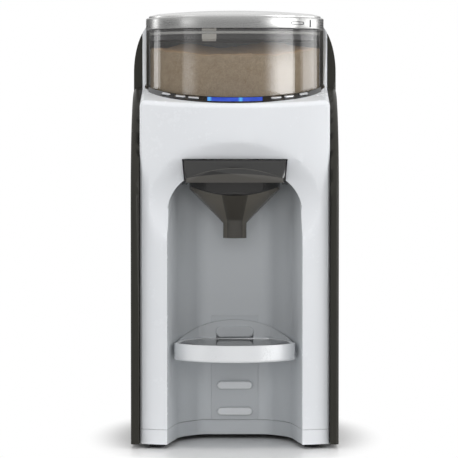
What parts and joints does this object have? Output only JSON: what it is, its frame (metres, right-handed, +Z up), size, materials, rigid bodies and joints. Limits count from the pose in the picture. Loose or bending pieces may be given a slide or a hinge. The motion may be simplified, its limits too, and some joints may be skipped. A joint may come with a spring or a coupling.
{
  "type": "baby formula maker",
  "caption": "Tall worktop machine that doses milk powder from a clear canister and warm water through a funnel into a bottle on its tray.",
  "frame": {"origin": "on the worktop under the middle of the machine", "axes": "+X to the right as the user faces the machine, +Y towards its rear, +Z up"},
  "size_m": [0.16, 0.25, 0.3385],
  "materials": {
    "white_shell": "gloss white moulding",
    "charcoal_cover": "satin charcoal moulding",
    "grey_liner": "satin grey moulding",
    "black_panel": "high gloss black",
    "display": "lit blue display window",
    "silver_button": "plated",
    "clear_wall": "clear plastic, slightly smoky",
    "smoky_plastic": "smoky translucent plastic",
    "clear_cover": "smoky clear plastic",
    "dark_plastic": "satin dark moulding",
    "white_plastic": "satin white moulding",
    "milk_powder": "fine dry powder",
    "lid_metal": "brushed",
    "tray_silver": "pale silver",
    "tray_top": "dark gloss",
    "silicone": "translucent silicone",
    "black_rubber": "matte rubber",
    "steel": "bright steel",
    "brass": "pressed brass",
    "nylon": "natural nylon",
    "heater_metal": "cast and machined",
    "circuit_board": "lacquered board"
  },
  "bodies": {
    "root": {"left_side_cover": "charcoal_cover", "right_side_cover": "charcoal_cover", "bay_liner": "grey_liner", "bay_skirt": "grey_liner", "front_fascia": "white_shell", "main_body": "white_shell", "base_skirt": "white_shell", "base_plate": "dark_plastic", "feet": "black_rubber", "base_screws": "steel", "rear_cover": "white_shell", "power_inlet": "dark_plastic", "tank_seat": "grey_liner", "peg_strip": "grey_liner", "canister_seat": "dark_plastic", "lcd_window": "display", "control_panel": "black_panel", "display_board": "circuit_board", "powder_chute": "white_plastic", "water_nozzle": "nylon", "shaft_bush": "brass", "gear_plate": "steel", "gear_motor": "heater_metal", "flow_sensor": "nylon", "pump": "dark_plastic", "heater": "heater_metal", "water_hoses": "silicone", "power_supply": "circuit_board", "main_board": "circuit_board"},
    "canister": {"canister_wall": "clear_wall", "canister_floor": "smoky_plastic", "powder": "milk_powder"},
    "lid_plug": {"lid_plug": "dark_plastic", "lid_seal": "silicone"},
    "lid_cap": {"lid_band": "lid_metal", "lid_top": "lid_metal"},
    "stirrer": {"dosing_wheel": "white_plastic", "stirring_wheel": "white_plastic"},
    "drive": {"drive_shaft": "steel", "drive_gear": "nylon"},
    "pinion": {"motor_pinion": "brass"},
    "funnel": {"mixing_funnel": "smoky_plastic", "funnel_holder": "smoky_plastic", "funnel_cover": "clear_cover"},
    "tray": {"tray_body": "tray_silver", "tray_insert": "tray_top", "tray_back_plate": "grey_liner"},
    "tank": {"water_tank": "smoky_plastic", "valve_spring": "steel", "tank_hinge_pin": "steel"},
    "tank_lid": {"tank_lid": "dark_plastic"},
    "tank_valve": {"tank_valve": "silicone"},
    "button_left_1": {"button_left_1": "silver_button"},
    "button_left_2": {"button_left_2": "silver_button"},
    "button_left_3": {"button_left_3": "silver_button"},
    "button_right_1": {"button_right_1": "silver_button"},
    "button_right_2": {"button_right_2": "silver_button"},
    "button_right_3": {"button_right_3": "silver_button"}
  },
  "joints": [
    {"name": "canister_lift", "type": "slide", "parent": "root", "child": "canister", "axis": [0, 0, 1], "range_m": [0, 0.075]},
    {"name": "lid_lift", "type": "slide", "parent": "canister", "child": "lid_plug", "axis": [0, 0, 1], "range_m": [0, 0.04]},
    {"name": "lid_twist", "type": "hinge", "parent": "lid_plug", "child": "lid_cap", "pos_m": [0, -0.036, 0.328], "axis": [0, 0, 1], "range_deg": [0, 30]},
    {"name": "drive_spin", "type": "hinge", "parent": "root", "child": "drive", "pos_m": [0, -0.036, 0.248], "axis": [0, 0, 1], "continuous": true},
    {"name": "stirrer_spin", "type": "hinge", "parent": "canister", "child": "stirrer", "pos_m": [0, -0.036, 0.272], "axis": [0, 0, 1], "continuous": true},
    {"name": "pinion_spin", "type": "hinge", "parent": "root", "child": "pinion", "pos_m": [0.0216, -0.012, 0.248], "axis": [0, 0, 1], "continuous": true},
    {"name": "funnel_slide", "type": "slide", "parent": "root", "child": "funnel", "axis": [0, -1, 0], "range_m": [0, 0.09]},
    {"name": "tray_lift", "type": "slide", "parent": "root", "child": "tray", "axis": [0, 0, 1], "range_m": [0, 0.06]},
    {"name": "tank_lift", "type": "slide", "parent": "root", "child": "tank", "axis": [0, 0, 1], "range_m": [0, 0.255]},
    {"name": "tank_lid_hinge", "type": "hinge", "parent": "tank", "child": "tank_lid", "pos_m": [0, 0.1215, 0.3218], "axis": [-1, 0, 0], "range_deg": [0, 100]},
    {"name": "tank_valve_slide", "type": "slide", "parent": "tank", "child": "tank_valve", "axis": [0, 0, -1], "range_m": [0, 0.0027], "deforming": ["valve_spring"]},
    {"name": "button_left_1_press", "type": "slide", "parent": "root", "child": "button_left_1", "axis": [0.1464, 0.459, -0.8763], "range_m": [0, 0.0008], "stiffness_N_per_m": 400},
    {"name": "button_left_2_press", "type": "slide", "parent": "root", "child": "button_left_2", "axis": [0.2092, 0.4536, -0.8663], "range_m": [0, 0.0008], "stiffness_N_per_m": 400},
    {"name": "button_left_3_press", "type": "slide", "parent": "root", "child": "button_left_3", "axis": [0.3161, 0.444, -0.8384], "range_m": [0, 0.0008], "stiffness_N_per_m": 400},
    {"name": "button_right_1_press", "type": "slide", "parent": "root", "child": "button_right_1", "axis": [-0.1464, 0.459, -0.8763], "range_m": [0, 0.0008], "stiffness_N_per_m": 400},
    {"name": "button_right_2_press", "type": "slide", "parent": "root", "child": "button_right_2", "axis": [-0.2092, 0.4536, -0.8663], "range_m": [0, 0.0008], "stiffness_N_per_m": 400},
    {"name": "button_right_3_press", "type": "slide", "parent": "root", "child": "button_right_3", "axis": [-0.3161, 0.444, -0.8384], "range_m": [0, 0.0008], "stiffness_N_per_m": 400}
  ],
  "couplings": [
    {"joint": "drive_spin", "follows": "stirrer_spin", "ratio": 1},
    {"joint": "pinion_spin", "follows": "stirrer_spin", "ratio": -1.9091},
    {"joint": "tank_valve_slide", "follows": "tank_lift", "ratio": 0.010588}
  ]
}
